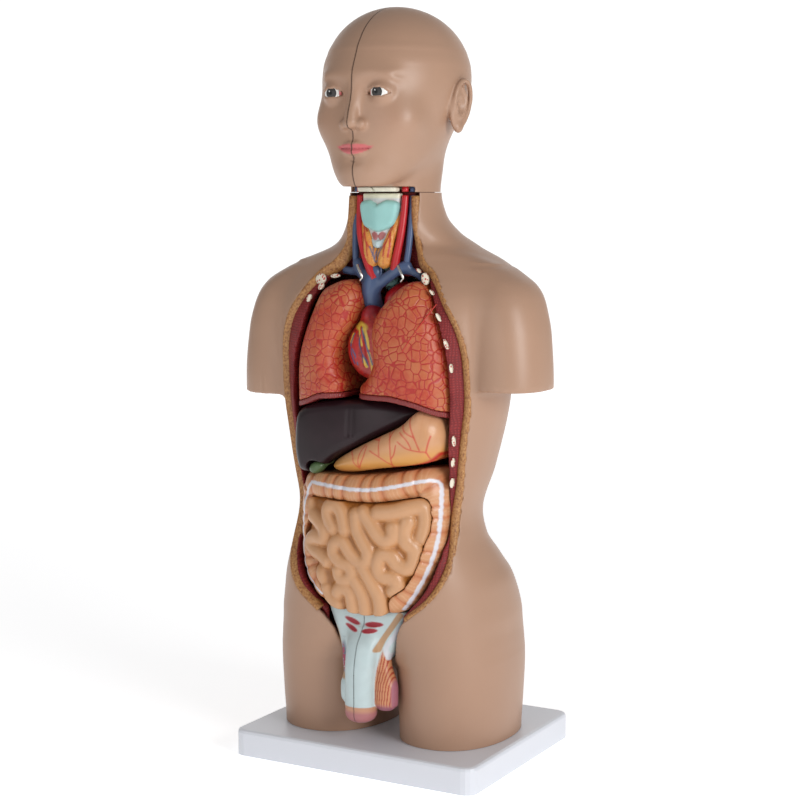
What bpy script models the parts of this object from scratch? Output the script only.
"""Take-apart torso anatomy model on a flat base, built as separate named pieces.

Frame: metres, +Z up, origin at the centre of the base's underside. The front of the
torso faces -Y and the model's left side is +X. Every removable organ leaves the body
cavity straight forward along -Y, the head lifts along +Z and opens along -X.
"""
import math

import bmesh
import bpy
from mathutils import Vector

# ---------------------------------------------------------------- driving dimensions
GAP = 0.0006              # clearance between neighbouring pieces
WALL = 0.004              # moulded wall of the trunk and the head
LINER_GAP = 0.0086        # trunk surface to the liner's outer face
LINER_WALL = 0.0034

BASE_WIDTH = 0.309
BASE_DEPTH = 0.257
BASE_HEIGHT = 0.030
BASE_CORNER = 0.014
BASE_WALL = 0.0035
UNDERPLATE = 0.0028

NECK_CUT = 0.6450         # height of the flat cut between head and trunk
ARM_CUT_LEFT = 0.430
ARM_CUT_RIGHT = 0.414

# Torso sections: height, half width, half depth, centre in y
TORSO = [
    (0.116, 0.030, 0.022, -0.004), (0.130, 0.070, 0.050, -0.004), (0.152, 0.104, 0.072, -0.006),
    (0.180, 0.125, 0.086, -0.009), (0.208, 0.1325, 0.092, -0.014), (0.232, 0.1275, 0.091, -0.024),
    (0.260, 0.1150, 0.086, -0.032), (0.290, 0.108, 0.082, -0.032),
    (0.340, 0.1186, 0.088, -0.024), (0.410, 0.1322, 0.096, -0.018),
    (0.460, 0.137, 0.098, -0.016), (0.500, 0.142, 0.093, -0.014),
    (0.530, 0.148, 0.083, -0.010), (0.546, 0.146, 0.075, -0.006),
    (0.558, 0.137, 0.069, -0.002), (0.571, 0.115, 0.064, 0.004),
    (0.585, 0.086, 0.060, 0.004), (0.600, 0.066, 0.0575, -0.006),
    (0.620, 0.053, 0.055, -0.016), (0.645, 0.0485, 0.0535, -0.020),
    (0.660, 0.0485, 0.0535, -0.020),
]
# Arm stub and thigh sections: height, half width, half depth, centre in y, centre in x
ARM = [
    (0.380, 0.043, 0.050, -0.021, 0.147), (0.435, 0.043, 0.050, -0.021, 0.147),
    (0.490, 0.043, 0.050, -0.019, 0.143), (0.517, 0.042, 0.049, -0.017, 0.138),
    (0.531, 0.041, 0.047, -0.015, 0.134), (0.544, 0.038, 0.042, -0.013, 0.128),
    (0.556, 0.030, 0.034, -0.011, 0.118), (0.564, 0.018, 0.022, -0.010, 0.108),
]
THIGH = [
    (0.010, 0.0625, 0.0855, -0.003, 0.0765), (0.030, 0.0625, 0.0855, -0.003, 0.0765),
    (0.070, 0.0640, 0.0875, -0.003, 0.0770), (0.110, 0.0655, 0.0895, -0.003, 0.0770),
    (0.165, 0.0665, 0.0930, -0.004, 0.0730), (0.200, 0.0645, 0.0915, -0.007, 0.0700),
    (0.230, 0.0540, 0.0820, -0.014, 0.0640), (0.262, 0.0360, 0.0620, -0.024, 0.0540),
    (0.285, 0.0160, 0.0320, -0.028, 0.0480),
]
# Right-hand edge of the front opening: half width, height, from the neck to the crotch
OPENING = [
    (0.0425, 0.670), (0.0425, 0.645), (0.0435, 0.612), (0.0460, 0.590), (0.0570, 0.569),
    (0.0735, 0.556), (0.093, 0.529), (0.108, 0.503), (0.116, 0.476), (0.1185, 0.443),
    (0.1180, 0.410), (0.1135, 0.377), (0.1075, 0.330), (0.1015, 0.290), (0.1035, 0.245),
    (0.0980, 0.220), (0.0835, 0.198), (0.0610, 0.180), (0.0505, 0.170), (0.042, 0.156),
]
# Lower end of the opening, a shallow notch for the pelvic insert
NOTCH = [
    (0.0425, 0.158), (0.0400, 0.150), (0.0330, 0.132), (0.0260, 0.115), (0.0180, 0.098),
]
# The liner's own opening, set in from the trunk's edge so that muscle shows around it
LINER_OPENING = [
    (0.0330, 0.670), (0.0330, 0.645), (0.0330, 0.600), (0.040, 0.578), (0.062, 0.562),
    (0.079, 0.545), (0.092, 0.520), (0.0995, 0.490), (0.1035, 0.455), (0.1045, 0.420),
    (0.1010, 0.380), (0.0950, 0.340), (0.0930, 0.290), (0.0940, 0.245), (0.0900, 0.215),
    (0.0780, 0.192), (0.0600, 0.176), (0.0490, 0.172), (0.0490, 0.120),
]

# Cavity layering along y
LUNG_SPLIT = -0.045
LUNG_BACK = 0.008
HEART_SPLIT = -0.048
HEART_BACK = -0.006
STOMACH_SPLIT = -0.066
STOMACH_BACK = -0.036
INSERT_BACK = -0.060

# Fixings: screw bosses under the base, thigh bolts, head peg, locating pins (y, z)
BOSS_PLACES = [(x, y) for x in (0.128, -0.128) for y in (0.102, -0.102)]
BOSS_RADIUS = 0.0055
BOSS_BORE = 0.0021
BOLT_X = 0.0765
BOLT_WAY = 0.0034
PEG_RADIUS = 0.005
PEG_X = 0.014
PEG_Y = -0.008
PIN_PLACES = [(-0.030, 0.672), (0.052, 0.737)]
PIN_RADIUS = 0.0017
LINER_FLOOR = 0.1505      # underside of the cavity's floor
NECK_PLATE_FRONT = -0.030
HYOID_BACK = -0.052
HYOID_HEIGHT = 0.0050
HYOID_HALF = 0.030
TRUNK_DETAIL = 0.021      # share of the remeshed faces kept

# Head: centre and radii of the cranium, of the two hollows and of the brain
CRANIUM = ((0.0, -0.014, 0.7735), (0.0775, 0.0955, 0.0765))
HOLLOW_TOP = ((0.0, -0.014, 0.775), (0.0715, 0.0895, 0.0700))
HOLLOW_LOW = ((0.0, -0.036, 0.700), (0.044, 0.050, 0.042))
BRAIN_PLACE = ((0.0, -0.010, 0.785), (0.057, 0.074, 0.046))
FACE = [
    (0.6490, 0.020, 0.014, -0.090), (0.6530, 0.029, 0.023, -0.085),
    (0.6620, 0.040, 0.037, -0.073), (0.6780, 0.0525, 0.058, -0.054),
    (0.7000, 0.0610, 0.073, -0.041), (0.7250, 0.0665, 0.082, -0.031),
    (0.7550, 0.070, 0.088, -0.024), (0.7800, 0.068, 0.086, -0.020),
    (0.8000, 0.060, 0.077, -0.018), (0.8280, 0.034, 0.044, -0.016),
]
NECK = [
    (0.6300, 0.0485, 0.0535, -0.020), (0.6450, 0.0485, 0.0535, -0.020),
    (0.6700, 0.0490, 0.0545, -0.016), (0.7200, 0.0500, 0.0560, -0.006),
]

# Lungs, diaphragm bands and heart seen from the front: x, z
LUNG_LEFT = [
    (0.058, 0.5455), (0.047, 0.5430), (0.036, 0.5270), (0.0225, 0.5040), (0.0165, 0.4800),
    (0.0160, 0.4570), (0.0070, 0.4360), (-0.0060, 0.4270), (-0.0030, 0.4225), (0.030, 0.4240),
    (0.060, 0.4195), (0.088, 0.4090), (0.0965, 0.4070), (0.0975, 0.4280), (0.0960, 0.4560),
    (0.0900, 0.4880), (0.0780, 0.5200), (0.0680, 0.5380),
]
LUNG_RIGHT = [
    (-0.048, 0.5410), (-0.030, 0.5440), (-0.0120, 0.5340), (-0.0085, 0.5150),
    (-0.0175, 0.4930), (-0.0265, 0.4750), (-0.0280, 0.4600), (-0.0215, 0.4430),
    (-0.0180, 0.4300), (-0.0260, 0.4235), (-0.050, 0.4230), (-0.0740, 0.4150),
    (-0.0900, 0.4110), (-0.0950, 0.4280), (-0.0920, 0.4620), (-0.0860, 0.4880),
    (-0.0760, 0.5120), (-0.0640, 0.5320),
]
BAND_LEFT = [
    (-0.0085, 0.4188), (0.0300, 0.4210), (0.0600, 0.4168), (0.0860, 0.4070), (0.0975, 0.4042),
    (0.0975, 0.3985), (0.0860, 0.4015), (0.0600, 0.4115), (0.0300, 0.4160), (-0.0085, 0.4140),
]
BAND_RIGHT = [
    (-0.0255, 0.4212), (-0.0500, 0.4208), (-0.0740, 0.4132), (-0.0925, 0.4085),
    (-0.0925, 0.4015), (-0.0740, 0.4065), (-0.0500, 0.4145), (-0.0255, 0.4150),
]
HEART_OUTLINE = [
    (-0.004, 0.5150), (0.016, 0.5080), (0.034, 0.4880), (0.045, 0.4640), (0.046, 0.4440),
    (0.036, 0.4330), (0.014, 0.4385), (-0.0060, 0.4440), (-0.0170, 0.4540), (-0.0225, 0.4700),
    (-0.0190, 0.4850), (-0.0125, 0.4980), (-0.0070, 0.5090),
]
HEART_CENTRE = (0.012, 0.474)
HEART_FRONT = -0.0820
HEART_ROOM = 0.0012

# Belly organs seen from the front: x, z
LIVER_OUTLINE = [
    (-0.0880, 0.3980), (-0.060, 0.4060), (-0.020, 0.4110), (0.020, 0.4110), (0.055, 0.4060),
    (0.0660, 0.4035), (0.0480, 0.3920), (0.0220, 0.3800), (0.000, 0.3700), (-0.0220, 0.3590),
    (-0.0420, 0.3480), (-0.0530, 0.3390), (-0.0640, 0.3340), (-0.0750, 0.3300), (-0.0840, 0.3310),
    (-0.0890, 0.3460), (-0.0905, 0.3680),
]
STOMACH_OUTLINE = [
    (0.0720, 0.4035), (0.0820, 0.4000), (0.0870, 0.3870), (0.0840, 0.3640), (0.0760, 0.3530),
    (0.0520, 0.3480), (0.0200, 0.3430), (-0.0120, 0.3365), (-0.0360, 0.3330), (-0.0460, 0.3360),
    (-0.0420, 0.3440), (-0.0200, 0.3560), (0.0040, 0.3680), (0.0260, 0.3780), (0.0520, 0.3895),
]
COLON_OUTLINE = [
    (-0.0830, 0.3200), (-0.060, 0.3240), (-0.020, 0.3270), (0.034, 0.3370), (0.066, 0.3430),
    (0.0800, 0.3380), (0.0810, 0.3100), (0.0790, 0.2730), (0.0780, 0.2400), (0.0700, 0.2080),
    (0.0540, 0.1910), (0.0300, 0.1860), (-0.0040, 0.1850), (-0.0340, 0.1890), (-0.0590, 0.1990),
    (-0.0790, 0.2180), (-0.0880, 0.2480), (-0.0860, 0.2840), (-0.0850, 0.3060),
]
GALL_PLACE = (-0.0660, -0.0860, 0.3390)
KIDNEY_PLACE = (0.046, 0.0130, 0.2880)
KIDNEY_RADII = (0.0165, 0.0150, 0.0300)

# Pelvic insert sections: height, half width, half depth, centre in y (and in x)
INSERT_SECTIONS = [
    (0.1225, 0.0150, 0.0140, -0.0800), (0.1350, 0.0250, 0.0150, -0.0780),
    (0.1500, 0.0330, 0.0165, -0.0760), (0.1650, 0.0400, 0.0180, -0.0745),
    (0.1750, 0.0420, 0.0180, -0.0745), (0.1800, 0.0380, 0.0160, -0.0745),
]
SHAFT_SECTIONS = [
    (0.0550, 0.0090, 0.0080, -0.1000), (0.0580, 0.0150, 0.0130, -0.0990),
    (0.0650, 0.0180, 0.0160, -0.0980), (0.0850, 0.0175, 0.0160, -0.0960),
    (0.1100, 0.0180, 0.0160, -0.0930), (0.1400, 0.0190, 0.0150, -0.0870),
    (0.1600, 0.0200, 0.0120, -0.0820),
]
SAC_SECTIONS = [
    (0.0690, 0.0080, 0.0070, -0.0900, 0.0265), (0.0760, 0.0140, 0.0120, -0.0900, 0.0265),
    (0.0950, 0.0145, 0.0125, -0.0900, 0.0260), (0.1200, 0.0090, 0.0100, -0.0860, 0.0215),
    (0.1450, 0.0080, 0.0090, -0.0830, 0.0200),
]

MODEL = "torso_anatomy_model"

# ---------------------------------------------------------------- colours
SKIN = (0.55, 0.37, 0.26)
WHITE = (0.86, 0.87, 0.90)
MUSCLE = (0.28, 0.04, 0.04)
STEEL = (0.72, 0.72, 0.70)
BONE = (0.85, 0.78, 0.62)
ARTERY = (0.65, 0.06, 0.06)
VEIN = (0.12, 0.22, 0.45)
CARTILAGE = (0.45, 0.78, 0.78)
LUNG = (0.78, 0.25, 0.12)
DIAPHRAGM = (0.45, 0.05, 0.06)
HEART = (0.66, 0.10, 0.08)
LIVER = (0.09, 0.04, 0.04)
GALL = (0.20, 0.40, 0.15)
STOMACH = (0.88, 0.56, 0.36)
SPLEEN = (0.30, 0.20, 0.28)
PANCREAS = (0.85, 0.66, 0.35)
COLON = (0.82, 0.46, 0.25)
INTESTINE = (0.88, 0.62, 0.38)
KIDNEY = (0.45, 0.10, 0.08)
PELVIC = (0.72, 0.84, 0.90)
BRAIN = (0.82, 0.66, 0.60)
GLAND = (0.85, 0.45, 0.18)


# ---------------------------------------------------------------- scene and materials
def clear_scene():
    for item in list(bpy.data.objects):
        bpy.data.objects.remove(item, do_unlink=True)


def new_collection(name):
    group = bpy.data.collections.new(name)
    bpy.context.scene.collection.children.link(group)
    return group


def material(name, colour, roughness=0.45, metallic=0.0):
    made = bpy.data.materials.get(name)
    if made is None:
        made = bpy.data.materials.new(name)
        made.use_nodes = True
        shader = made.node_tree.nodes["Principled BSDF"]
        shader.inputs["Base Color"].default_value = (*colour, 1.0)
        shader.inputs["Roughness"].default_value = roughness
        shader.inputs["Metallic"].default_value = metallic
    return made


def put(item, group):
    """Keep the object in one collection only."""
    for other in list(item.users_collection):
        other.objects.unlink(item)
    group.objects.link(item)
    return item


def finish(item, name, colour, roughness=0.45, metallic=0.0, smooth=True):
    """Name a finished piece, give it its own material and move it to the model."""
    item.name = name
    item.data.name = name
    item.data.materials.clear()
    item.data.materials.append(material(name, colour, roughness, metallic))
    if smooth:
        item.data.shade_smooth()
        item.data.set_sharp_from_angle(angle=math.radians(35))
    return put(item, PARTS)


def mesh_object(name, verts, faces):
    mesh = bpy.data.meshes.new(name)
    mesh.from_pydata(verts, [], faces)
    mesh.validate()
    item = bpy.data.objects.new(name, mesh)
    CUTTERS.objects.link(item)
    work = bmesh.new()
    work.from_mesh(mesh)
    bmesh.ops.recalc_face_normals(work, faces=work.faces)
    work.to_mesh(mesh)
    work.free()
    return item


# ---------------------------------------------------------------- mesh building blocks
def spline(points, steps, closed):
    """Points on a Catmull-Rom curve through the given points of any dimension."""
    count = len(points)
    spans = count if closed else count - 1
    smooth = []
    for index in range(spans):
        if closed:
            four = [points[(index + k) % count] for k in (-1, 0, 1, 2)]
        else:
            four = [points[min(max(index + k, 0), count - 1)] for k in (-1, 0, 1, 2)]
        for step in range(steps):
            t = step / steps
            weights = (
                -0.5 * t + t * t - 0.5 * t ** 3,
                1.0 - 2.5 * t * t + 1.5 * t ** 3,
                0.5 * t + 2.0 * t * t - 1.5 * t ** 3,
                -0.5 * t * t + 0.5 * t ** 3,
            )
            smooth.append(tuple(
                sum(w * p[axis] for w, p in zip(weights, four))
                for axis in range(len(points[0]))
            ))
    if not closed:
        smooth.append(tuple(points[-1]))
    return smooth


def superellipse(half_x, half_y, power, count):
    ring = []
    for k in range(count):
        angle = 2 * math.pi * (k + 0.5) / count
        c, s = math.cos(angle), math.sin(angle)
        ring.append((
            half_x * math.copysign(abs(c) ** (2 / power), c),
            half_y * math.copysign(abs(s) ** (2 / power), s),
        ))
    return ring


def skin_rings(name, rings):
    """Join equally long rings of points into one closed solid with flat ends."""
    count = len(rings[0])
    verts = [point for ring in rings for point in ring]
    faces = []
    for row in range(len(rings) - 1):
        for k in range(count):
            a, b = row * count + k, row * count + (k + 1) % count
            faces.append((a, b, b + count, a + count))
    faces.append(tuple(range(count)))
    faces.append(tuple(range(len(verts) - count, len(verts))))
    return mesh_object(name, verts, faces)


def loft(name, sections, inset=0.0, side=1, steps=2, power=2.3, count=32):
    """Solid through superellipse sections (z, half width, half depth, y[, x])."""
    rows = [(*row, 0.0)[:5] for row in sections]
    rings = []
    for z, half_x, half_y, y, x in spline(rows, steps, closed=False):
        ring = superellipse(half_x - inset, half_y - inset, power, count)
        rings.append([(side * (x + u), y + v, z) for u, v in ring])
    return skin_rings(name, rings)


def prism(name, outline, y_low, y_high):
    """Straight block along y from an outline of (x, z) points."""
    return skin_rings(name, [
        [(x, y_low, z) for x, z in outline],
        [(x, y_high, z) for x, z in outline],
    ])


def mirrored(edge, steps=2):
    """Closed outline from the right-hand edge of a symmetric one, top to bottom."""
    right = spline(edge, steps, closed=False)
    return right + [(-x, z) for x, z in reversed(right)]


def pillow(name, outline, centre, y_front, y_edge, y_back, steps=1, shrink=0.0):
    """Crowned organ: flat back, straight sides along y and a domed front."""
    edge = spline(outline, steps, closed=True)
    cx, cz = centre
    if shrink:
        edge = [(
            x + shrink * (cx - x) / math.hypot(cx - x, cz - z),
            z + shrink * (cz - z) / math.hypot(cx - x, cz - z),
        ) for x, z in edge]
    rings = [[(x, y_back, z) for x, z in edge]]
    for scale in (1.0, 0.93, 0.72, 0.40):
        rise = (1.0 - scale ** 2.4) ** (1 / 2.4)
        y = y_edge + (y_front - y_edge) * rise
        rings.append([(cx + (x - cx) * scale, y, cz + (z - cz) * scale) for x, z in edge])
    return skin_rings(name, rings)


def block(name, low, high):
    bpy.ops.mesh.primitive_cube_add(size=1.0)
    item = bpy.context.object
    item.name = name
    size = [b - a for a, b in zip(low, high)]
    middle = [(a + b) / 2 for a, b in zip(low, high)]
    for vert in item.data.vertices:
        vert.co = Vector(c * s + m for c, s, m in zip(vert.co, size, middle))
    return put(item, CUTTERS)


def ball(name, centre, radii, segments=12, rings=8):
    bpy.ops.mesh.primitive_uv_sphere_add(segments=segments, ring_count=rings, radius=1.0)
    item = bpy.context.object
    item.name = name
    for vert in item.data.vertices:
        vert.co = Vector(c * r + m for c, r, m in zip(vert.co, radii, centre))
    return put(item, CUTTERS)


def cylinder(name, centre, radius, depth, axis="Z", sides=16):
    bpy.ops.mesh.primitive_cylinder_add(vertices=sides, radius=radius, depth=depth)
    item = bpy.context.object
    item.name = name
    turn = {"X": (0, math.pi / 2, 0), "Y": (math.pi / 2, 0, 0), "Z": (0, 0, 0)}[axis]
    item.rotation_euler = turn
    item.location = centre
    bpy.context.view_layer.update()
    item.data.transform(item.matrix_world)
    item.rotation_euler = (0, 0, 0)
    item.location = (0, 0, 0)
    return put(item, CUTTERS)


def evaluated(item, name):
    """Mesh copy of an object with its modifiers applied; the source is removed."""
    bpy.context.view_layer.update()
    graph = bpy.context.evaluated_depsgraph_get()
    mesh = bpy.data.meshes.new_from_object(item.evaluated_get(graph))
    copy = bpy.data.objects.new(name, mesh)
    copy.matrix_world = item.matrix_world
    CUTTERS.objects.link(copy)
    bpy.data.objects.remove(item, do_unlink=True)
    return copy


def tube(name, points, radius, sides=2, steps=2):
    """Round tube with closed ends along a smooth curve through the points."""
    curve = bpy.data.curves.new(name, "CURVE")
    curve.dimensions = "3D"
    path = spline(points, steps, closed=False)
    line = curve.splines.new("POLY")
    line.points.add(len(path) - 1)
    for slot, point in zip(line.points, path):
        slot.co = (*point, 1.0)
    curve.bevel_depth = radius
    curve.bevel_resolution = sides
    curve.use_fill_caps = True
    item = bpy.data.objects.new(name, curve)
    CUTTERS.objects.link(item)
    solid = evaluated(item, name)
    work = bmesh.new()
    work.from_mesh(solid.data)
    bmesh.ops.remove_doubles(work, verts=work.verts, dist=0.00002)
    bmesh.ops.recalc_face_normals(work, faces=work.faces)
    work.to_mesh(solid.data)
    work.free()
    return solid


def combine(item, other, operation):
    """Exact Boolean of two solids; both sources are used up."""
    step = item.modifiers.new(operation, "BOOLEAN")
    step.operation = operation
    step.solver = "EXACT"
    step.object = other
    result = evaluated(item, item.name)
    bpy.data.objects.remove(other, do_unlink=True)
    return result


def cut(item, *cutters):
    for cutter in cutters:
        item = combine(item, cutter, "DIFFERENCE")
    return item


def keep_side(item, axis, limit, above):
    """Keep the part of a solid on one side of an axis plane."""
    low, high = [-1.0, -1.0, -1.0], [1.0, 1.0, 1.0]
    if above:
        low[axis] = limit
    else:
        high[axis] = limit
    return combine(item, block("half_space", low, high), "INTERSECT")


def merged(name, items, voxel, rounds, ratio):
    """Blend overlapping solids into one smooth skin with few faces."""
    whole = items[0]
    bpy.ops.object.select_all(action="DESELECT")
    for item in items:
        item.select_set(True)
    bpy.context.view_layer.objects.active = whole
    bpy.ops.object.join()
    remesh = whole.modifiers.new("one_skin", "REMESH")
    remesh.mode = "VOXEL"
    remesh.voxel_size = voxel
    smooth = whole.modifiers.new("even", "SMOOTH")
    smooth.factor = 0.5
    smooth.iterations = rounds
    fewer = whole.modifiers.new("fewer_faces", "DECIMATE")
    fewer.ratio = ratio
    result = evaluated(whole, name)
    return result


# ---------------------------------------------------------------- base
def make_base():
    half_x, half_y = BASE_WIDTH / 2, BASE_DEPTH / 2
    plate = block("base_top", (-half_x, -half_y, 0), (half_x, half_y, BASE_HEIGHT))
    round_edges(plate, vertical=BASE_CORNER, top=0.004)
    inner = block(
        "base_hollow",
        (-half_x + BASE_WALL, -half_y + BASE_WALL, -0.01),
        (half_x - BASE_WALL, half_y - BASE_WALL, BASE_HEIGHT - BASE_WALL),
    )
    round_edges(inner, vertical=BASE_CORNER - BASE_WALL, top=0.0)
    plate = cut(plate, inner)
    for x, y in BOSS_PLACES:
        boss = cylinder("boss", (x, y, 0.0165), BOSS_RADIUS, 0.0260, sides=10)
        plate = combine(plate, boss, "UNION")
        plate = cut(plate, cylinder("boss_hole", (x, y, 0.009), BOSS_BORE, 0.020, sides=8))
    for side in (1, -1):
        plate = cut(plate, cylinder("bolt_way", (side * BOLT_X, 0, 0.02), BOLT_WAY, 0.04, sides=12))
    finish(plate, "base_top", WHITE, 0.35)

    sheet = block(
        "base_underplate",
        (-half_x + BASE_WALL + GAP, -half_y + BASE_WALL + GAP, 0),
        (half_x - BASE_WALL - GAP, half_y - BASE_WALL - GAP, UNDERPLATE),
    )
    round_edges(sheet, vertical=BASE_CORNER - BASE_WALL - GAP, top=0.0)
    for x, y in BOSS_PLACES:
        sheet = cut(sheet, cylinder("hole", (x, y, 0), 0.0038, 0.02, sides=8))
    finish(sheet, "base_underplate", (0.80, 0.81, 0.84), 0.5)

    for index, (x, y) in enumerate(BOSS_PLACES):
        finish(screw(x, y, 0.0004, 0.0012, 0.0032, 0.0016, 0.014), f"underplate_screw_{index + 1}",
               STEEL, 0.3, 1.0)


def round_edges(item, vertical, top):
    """Round the upright corners of a block and, if asked, its upper edges."""
    work = bmesh.new()
    work.from_mesh(item.data)
    upright = [e for e in work.edges if abs(e.verts[0].co.z - e.verts[1].co.z) > 0.001]
    bmesh.ops.bevel(work, geom=upright, offset=vertical, segments=4, profile=0.5, affect="EDGES")
    if top > 0:
        high = max(v.co.z for v in work.verts)
        rim = [e for e in work.edges if all(abs(v.co.z - high) < 1e-6 for v in e.verts)]
        bmesh.ops.bevel(work, geom=rim, offset=top, segments=2, profile=0.5, affect="EDGES")
    work.to_mesh(item.data)
    work.free()


def screw(x, y, z_low, head_height, head_radius, shank_radius, length):
    """Pan-head screw pointing up, head at the bottom, as one turned solid."""
    profile = [
        (head_radius * 0.8, z_low), (head_radius, z_low + head_height * 0.4),
        (head_radius, z_low + head_height), (shank_radius, z_low + head_height),
        (shank_radius, z_low + length - 0.001),
    ]
    sides = 8
    rings = []
    for radius, z in profile:
        rings.append([(
            x + radius * math.cos(2 * math.pi * k / sides),
            y + radius * math.sin(2 * math.pi * k / sides), z,
        ) for k in range(sides)])
    return skin_rings("screw", rings)


# ---------------------------------------------------------------- trunk
def body_form(name, inset, arm_lift):
    """Torso, arm stubs and thighs blended into one skin, drawn in by the inset."""
    items = [loft("torso", TORSO, inset)]
    for side, cut_height in ((1, ARM_CUT_LEFT), (-1, ARM_CUT_RIGHT)):
        low = cut_height + arm_lift
        arm = [(max(z, low), *rest) for z, *rest in ARM] if arm_lift else ARM
        items.append(loft("arm", arm, inset, side, count=24))
        items.append(loft("thigh", THIGH, inset, side, power=2.2, count=24))
    return merged(name, items, voxel=0.005, rounds=6, ratio=TRUNK_DETAIL)


def make_trunk():
    skin = body_form("trunk_shell", 0.0, 0.0)
    hollow = body_form("hollow", WALL, WALL)
    skin = cut(skin, hollow)
    for side, height in ((1, ARM_CUT_LEFT), (-1, ARM_CUT_RIGHT)):
        x_low, x_high = sorted((side * 0.09, side * 0.25))
        below_arm = block("below_arm", (x_low, -0.2, height - 0.12), (x_high, 0.2, height))
        below_arm = cut(below_arm, loft("torso", TORSO, -0.0004))
        skin = cut(skin, below_arm)
    skin = keep_side(skin, 2, BASE_HEIGHT + 0.0004, above=True)
    skin = keep_side(skin, 2, NECK_CUT - GAP / 2, above=False)
    skin = cut(skin, prism("window", mirrored(OPENING, steps=1), -0.25, -0.018))
    skin = cut(skin, prism("notch", mirrored(NOTCH, steps=1), -0.25, INSERT_BACK + 0.0015))
    finish(skin, "trunk_shell", SKIN, 0.42)


def make_liner():
    outer_rows = [row for row in TORSO if row[0] >= LINER_FLOOR]
    outer_rows[0] = (LINER_FLOOR, *outer_rows[0][1:])
    inner_rows = [(LINER_FLOOR + LINER_WALL, *outer_rows[0][1:])] + outer_rows[1:-1]
    inner_rows.append((NECK_CUT + 0.030, *outer_rows[-1][1:]))
    liner = loft("body_wall_liner", outer_rows, LINER_GAP, steps=1, count=24)
    space = loft("liner_space", inner_rows, LINER_GAP + LINER_WALL, steps=1, count=24)
    liner = cut(liner, space)
    liner = keep_side(liner, 2, NECK_CUT - 0.002, above=False)
    liner = cut(liner, prism("liner_window", mirrored(LINER_OPENING, steps=1), -0.25, -0.030))
    finish(liner, "body_wall_liner", MUSCLE, 0.5)


def make_plugs():
    for side, word in ((1, "left"), (-1, "right")):
        rows = [(BASE_HEIGHT + GAP, *THIGH[1][1:]), (BASE_HEIGHT + 0.010, *THIGH[1][1:])]
        plug = loft("plug", rows, WALL + 0.0012, side, steps=1, power=2.2, count=24)
        hole = cylinder("bolt_way", (side * BOLT_X, 0, 0.03), BOLT_WAY, 0.04, sides=12)
        finish(cut(plug, hole), f"thigh_plate_{word}", WHITE, 0.5)
        finish(bolt(side * BOLT_X, 0.0), f"thigh_bolt_{word}", STEEL, 0.3, 1.0)

    neck = TORSO[-2]
    rows = [(NECK_CUT - 0.010, *neck[1:]), (NECK_CUT - 0.0012, *neck[1:])]
    plate = loft("neck_plate", rows, LINER_GAP + LINER_WALL + 0.0014, steps=1, count=24)
    plate = keep_side(plate, 1, NECK_PLATE_FRONT, above=True)
    plate = cut(plate, cylinder("peg_hole", (PEG_X, PEG_Y, NECK_CUT), PEG_RADIUS + 0.0004, 0.06))
    finish(plate, "neck_plate", SKIN, 0.45)
    peg = cylinder("head_peg", (PEG_X, PEG_Y, NECK_CUT + 0.003), PEG_RADIUS, 0.030)
    finish(peg, "head_peg", STEEL, 0.3, 1.0)


def bolt(x, y):
    return screw(x, y, BASE_HEIGHT - BASE_WALL - 0.0046, 0.0040, 0.0062, 0.0029, 0.0170)


# ---------------------------------------------------------------- head
def head_form(name):
    items = [
        ball("cranium", *CRANIUM, segments=32, rings=20),
        loft("face", FACE, power=2.1), loft("neck", NECK, power=2.1),
        ball("nose_tip", (0, -0.1170, 0.7180), (0.0105, 0.0085, 0.0085)),
        ball("nose_bridge", (0, -0.1080, 0.7350), (0.0070, 0.0120, 0.0230)),
        ball("lips", (0, -0.1050, 0.6915), (0.0200, 0.0085, 0.0090)),
        ball("chin", (0, -0.0990, 0.6650), (0.0170, 0.0110, 0.0120)),
    ]
    for side in (1, -1):
        items.append(ball("ear", (side * 0.0775, -0.004, 0.7410), (0.0080, 0.0165, 0.0270)))
    head = merged(name, items, voxel=0.0042, rounds=4, ratio=0.045)
    return keep_side(head, 2, NECK_CUT + GAP / 2, above=True)


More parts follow.
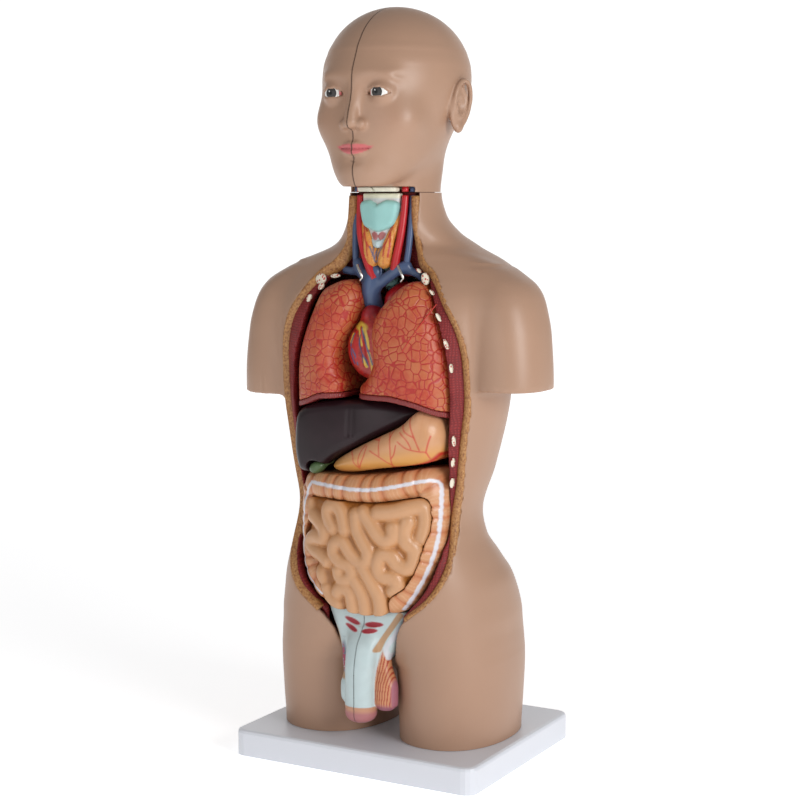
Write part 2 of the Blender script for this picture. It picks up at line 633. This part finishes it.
def make_head():
    for side, name in ((1, "head_left_half"), (-1, "head_right_half")):
        half = head_form(name)
        half = cut(half, ball("hollow_top", *HOLLOW_TOP, 20, 12), ball("hollow_low", *HOLLOW_LOW, 16, 10))
        half = keep_side(half, 0, side * GAP / 2, above=side > 0)
        if side > 0:
            half = cut(half, cylinder("socket", (PEG_X, PEG_Y, NECK_CUT), PEG_RADIUS + 0.0006, 0.06))
        notch = block("hyoid_notch", (-HYOID_HALF, -0.2, NECK_CUT - 0.01),
                      (HYOID_HALF, HYOID_BACK, NECK_CUT + HYOID_HEIGHT))
        half = cut(half, notch)
        finish(half, name, SKIN, 0.42)

    hyoid = loft("hyoid_plate", [
        (NECK_CUT + GAP / 2, *NECK[1][1:]), (NECK_CUT + HYOID_HEIGHT - 0.0005, *NECK[1][1:]),
    ], 0.0016, steps=1, count=24)
    hyoid = keep_side(hyoid, 1, HYOID_BACK - 0.0005, above=False)
    hyoid = keep_side(hyoid, 0, HYOID_HALF - GAP, above=False)
    hyoid = keep_side(hyoid, 0, GAP, above=True)
    finish(hyoid, "hyoid_plate", BONE, 0.45)

    panel = cylinder("median_section", (0.0026, CRANIUM[0][1], HOLLOW_TOP[0][2]), 1.0, 0.0030, "X", 24)
    reshape(panel, HOLLOW_TOP, 0.0030)
    low = cylinder("low_panel", (0.0026, HOLLOW_LOW[0][1], HOLLOW_LOW[0][2]), 1.0, 0.0030, "X", 24)
    reshape(low, HOLLOW_LOW, 0.0030)
    panel = combine(panel, low, "UNION")
    hole = cylinder("brain_way", (0.0026, BRAIN_PLACE[0][1], BRAIN_PLACE[0][2]), 1.0, 0.05, "X", 24)
    reshape(hole, BRAIN_PLACE, -0.0012)
    panel = cut(panel, hole)
    for index, (y, z) in enumerate(PIN_PLACES):
        way = cylinder("pin_way", (0, y, z), PIN_RADIUS + 0.0004, 0.05, "X", 12)
        panel = cut(panel, way)
        pin = cylinder("pin", (-0.0005, y, z), PIN_RADIUS, 0.009, "X", 12)
        finish(pin, f"head_pin_{index + 1}", STEEL, 0.3, 1.0)
    finish(panel, "median_section", (0.80, 0.42, 0.34), 0.45)

    brain = ball("brain_half", *BRAIN_PLACE, segments=16, rings=10)
    brain = keep_side(brain, 0, GAP, above=True)
    finish(brain, "brain_half", BRAIN, 0.45)


def reshape(disc, place, inset):
    """Stretch a unit disc across x into the ellipse of a hollow, less the inset."""
    (_, y0, z0), (_, radius_y, radius_z) = place
    for vert in disc.data.vertices:
        vert.co.y = y0 + (vert.co.y - y0) * (radius_y - inset)
        vert.co.z = z0 + (vert.co.z - z0) * (radius_z - inset)


# ---------------------------------------------------------------- neck organs
def make_neck():
    shield = loft("larynx", [
        (0.6080, 0.0120, 0.0085, -0.050), (0.6160, 0.0155, 0.0115, -0.053),
        (0.6280, 0.0175, 0.0130, -0.054), (0.6370, 0.0165, 0.0110, -0.053),
        (0.6420, 0.0120, 0.0080, -0.051),
    ], steps=1, count=16)
    finish(shield, "larynx", CARTILAGE, 0.35)
    windpipe = tube("trachea", [(0, -0.043, 0.6065), (0, -0.040, 0.585), (0, -0.032, 0.560),
                                (0, -0.014, 0.540), (0, 0.010, 0.526)], 0.0078)
    finish(windpipe, "trachea", CARTILAGE, 0.4)
    for side, word in ((1, "left"), (-1, "right")):
        lobe = ball("thyroid", (side * 0.0125, -0.0580, 0.5930), (0.0065, 0.0060, 0.0135))
        finish(lobe, f"thyroid_lobe_{word}", GLAND, 0.4)
        artery = tube("artery", [
            (side * 0.0225, -0.0480, 0.6405), (side * 0.0225, -0.0490, 0.610),
            (side * 0.0215, -0.0470, 0.585), (side * 0.0205, -0.0450, 0.5700),
        ], 0.0030)
        finish(artery, f"carotid_artery_{word}", ARTERY, 0.35)
        vein = tube("vein", [
            (side * 0.0275, -0.0370, 0.6405), (side * 0.0285, -0.0380, 0.610),
            (side * 0.0292, -0.0390, 0.590), (side * 0.0315, -0.0430, 0.5700),
        ], 0.0030)
        finish(vein, f"jugular_vein_{word}", VEIN, 0.35)
    left_vein = tube("veins", [(0.030, -0.052, 0.5655), (0.012, -0.0560, 0.555),
                               (0.0000, -0.0560, 0.543), (0.0005, -0.050, 0.5240)], 0.0045)
    right_vein = tube("vein", [(-0.030, -0.050, 0.5655), (-0.015, -0.054, 0.5540),
                               (-0.001, -0.055, 0.5440)], 0.0040)
    finish(combine(left_vein, right_vein, "UNION"), "brachiocephalic_veins", VEIN, 0.35)
    arch = tube("aortic_arch", [(0.0130, -0.046, 0.5210), (0.0130, -0.042, 0.5330),
                                (0.0170, -0.028, 0.5410), (0.0220, -0.010, 0.5380),
                                (0.0200, 0.006, 0.520)], 0.0058)
    finish(arch, "aortic_arch", ARTERY, 0.35)
    for side, word in ((1, "left"), (-1, "right")):
        x = 0.012 + side * 0.028
        hook = tube("hook", [(x, -0.0760, 0.5490), (x, -0.0790, 0.5530), (x, -0.0740, 0.5580),
                             (x, -0.0600, 0.5600)], 0.0010, steps=2)
        finish(hook, f"lung_hook_{word}", STEEL, 0.3, 1.0)


# ---------------------------------------------------------------- chest
def make_chest():
    for outline, centre, word in (
        (LUNG_LEFT, (0.055, 0.468), "left"), (LUNG_RIGHT, (-0.055, 0.468), "right"),
    ):
        front = pillow("lung", outline, centre, -0.1020, -0.0640, LUNG_SPLIT - GAP / 2)
        back = pillow("lung", outline, centre, LUNG_BACK, LUNG_BACK - 0.030, LUNG_SPLIT + GAP / 2)
        if word == "left":
            room = pillow("heart_room", HEART_OUTLINE, HEART_CENTRE, HEART_FRONT - 0.002, -0.074,
                          HEART_BACK + 0.002, shrink=-HEART_ROOM)
            through = pillow("heart_way", HEART_OUTLINE, HEART_CENTRE, HEART_FRONT - 0.002, -0.074,
                             LUNG_BACK + 0.010, shrink=-HEART_ROOM)
            front = cut(front, room)
            back = cut(back, through)
        finish(front, f"lung_{word}_front", LUNG, 0.4)
        finish(back, f"lung_{word}_back", LUNG, 0.4)
    for band, word in ((BAND_LEFT, "left"), (BAND_RIGHT, "right")):
        strip = prism("diaphragm", spline(band, 1, closed=True), -0.0960, LUNG_SPLIT - GAP / 2)
        finish(strip, f"diaphragm_{word}", DIAPHRAGM, 0.45)
    front = pillow("heart", HEART_OUTLINE, HEART_CENTRE, HEART_FRONT, -0.070, HEART_SPLIT - GAP / 2)
    back = pillow("heart", HEART_OUTLINE, HEART_CENTRE, HEART_BACK, -0.026, HEART_SPLIT + GAP / 2)
    finish(front, "heart_front", HEART, 0.35)
    finish(back, "heart_back", HEART, 0.35)


# ---------------------------------------------------------------- belly
def make_belly():
    liver = pillow("liver", LIVER_OUTLINE, (-0.045, 0.378), -0.0980, -0.0760, -0.030)
    liver = cut(liver, ball("gall_room", GALL_PLACE, (0.0105, 0.0105, 0.0120), 12, 8))
    finish(liver, "liver", LIVER, 0.25)
    finish(ball("gall", GALL_PLACE, (0.0085, 0.0085, 0.0100), 12, 8), "gallbladder", GALL, 0.35)
    front = pillow("stomach", STOMACH_OUTLINE, (0.030, 0.366), -0.1080, -0.0760,
                   STOMACH_SPLIT - GAP / 2)
    back = pillow("stomach", STOMACH_OUTLINE, (0.030, 0.366), STOMACH_BACK, STOMACH_BACK - 0.012,
                  STOMACH_SPLIT + GAP / 2)
    finish(front, "stomach_front", STOMACH, 0.35)
    finish(back, "stomach_back", STOMACH, 0.35)
    spleen = ball("spleen", (0.0745, -0.018, 0.3740), (0.0135, 0.0160, 0.0240))
    finish(spleen, "spleen", SPLEEN, 0.35)
    pancreas = tube("pancreas", [(0.0540, -0.020, 0.3660), (0.030, -0.022, 0.3610),
                                 (0.006, -0.024, 0.3540), (-0.010, -0.024, 0.3470)], 0.0080)
    finish(pancreas, "pancreas", PANCREAS, 0.4)

    coil_edge = [(x * 0.80 + 0.001, 0.250 + (z - 0.258) * 0.82) for x, z in COLON_OUTLINE]
    colon = pillow("colon", COLON_OUTLINE, (0.0, 0.262), -0.1090, -0.0800, -0.0300)
    room = pillow("coil_room", coil_edge, (0.0, 0.255), -0.2, -0.19, -0.0700, shrink=-0.0012)
    colon = cut(colon, room)
    finish(colon, "colon_frame", COLON, 0.4)
    coils = pillow("small_intestine", coil_edge, (0.0, 0.255), -0.1200, -0.1020, -0.0706)
    finish(coils, "small_intestine", INTESTINE, 0.4)


def make_back_wall():
    for side, word in ((1, "left"), (-1, "right")):
        place = (side * KIDNEY_PLACE[0], *KIDNEY_PLACE[1:])
        if word == "left":
            finish(ball("kidney", place, KIDNEY_RADII), "kidney_left", KIDNEY, 0.35)
        else:
            for half, above in (("back", True), ("front", False)):
                kidney = ball("kidney", place, KIDNEY_RADII)
                shift = GAP / 2 if above else -GAP / 2
                kidney = keep_side(kidney, 1, KIDNEY_PLACE[1] + shift, above=above)
                finish(kidney, f"kidney_right_{half}", KIDNEY, 0.35)
    spine = loft("vertebral_column", [
        (0.1900, 0.0150, 0.0080, 0.0440), (0.2500, 0.0150, 0.0065, 0.0290),
        (0.2900, 0.0145, 0.0065, 0.0290), (0.3400, 0.0140, 0.0080, 0.0400),
        (0.4100, 0.0130, 0.0095, 0.0480), (0.4700, 0.0125, 0.0095, 0.0510),
        (0.5300, 0.0120, 0.0090, 0.0420), (0.5600, 0.0110, 0.0070, 0.0370),
    ], steps=1, count=12)
    finish(spine, "vertebral_column", BONE, 0.5)
    aorta = tube("aorta", [(0.0080, 0.0225, 0.5050), (0.0080, 0.0250, 0.4400),
                           (0.0080, 0.0230, 0.3700), (0.0080, 0.0135, 0.3100),
                           (0.0080, 0.0120, 0.2500)], 0.0050)
    finish(aorta, "descending_aorta", ARTERY, 0.35)
    cava = tube("cava", [(-0.0080, 0.0225, 0.4900), (-0.0080, 0.0250, 0.4400),
                         (-0.0080, 0.0230, 0.3700), (-0.0080, 0.0135, 0.3100),
                         (-0.0080, 0.0120, 0.2500)], 0.0050)
    finish(cava, "inferior_vena_cava", VEIN, 0.35)


# ---------------------------------------------------------------- pelvis
def make_pelvis():
    for side, word in ((1, "left"), (-1, "right")):
        items = [
            loft("insert", INSERT_SECTIONS, count=24), loft("shaft", SHAFT_SECTIONS, count=20),
            loft("sac", SAC_SECTIONS, side=side, count=16),
        ]
        whole = merged("insert", items, voxel=0.0024, rounds=2, ratio=0.035)
        whole = keep_side(whole, 0, side * GAP / 2, above=side > 0)
        whole = keep_side(whole, 1, INSERT_BACK, above=False)
        finish(whole, f"pelvic_insert_{word}", PELVIC, 0.35)
        bladder = ball("bladder", (0, -0.0432, 0.1690), (0.0200, 0.0160, 0.0110))
        bladder = keep_side(bladder, 0, side * GAP / 2, above=side > 0)
        finish(bladder, f"bladder_half_{word}", (0.85, 0.62, 0.50), 0.4)


# ---------------------------------------------------------------- build
clear_scene()
PARTS = new_collection(MODEL)
CUTTERS = new_collection(MODEL + "_cutters")

make_base()
make_trunk()
make_liner()
make_plugs()
make_head()
make_neck()
make_chest()
make_belly()
make_back_wall()
make_pelvis()

for leftover in list(CUTTERS.objects):
    bpy.data.objects.remove(leftover, do_unlink=True)
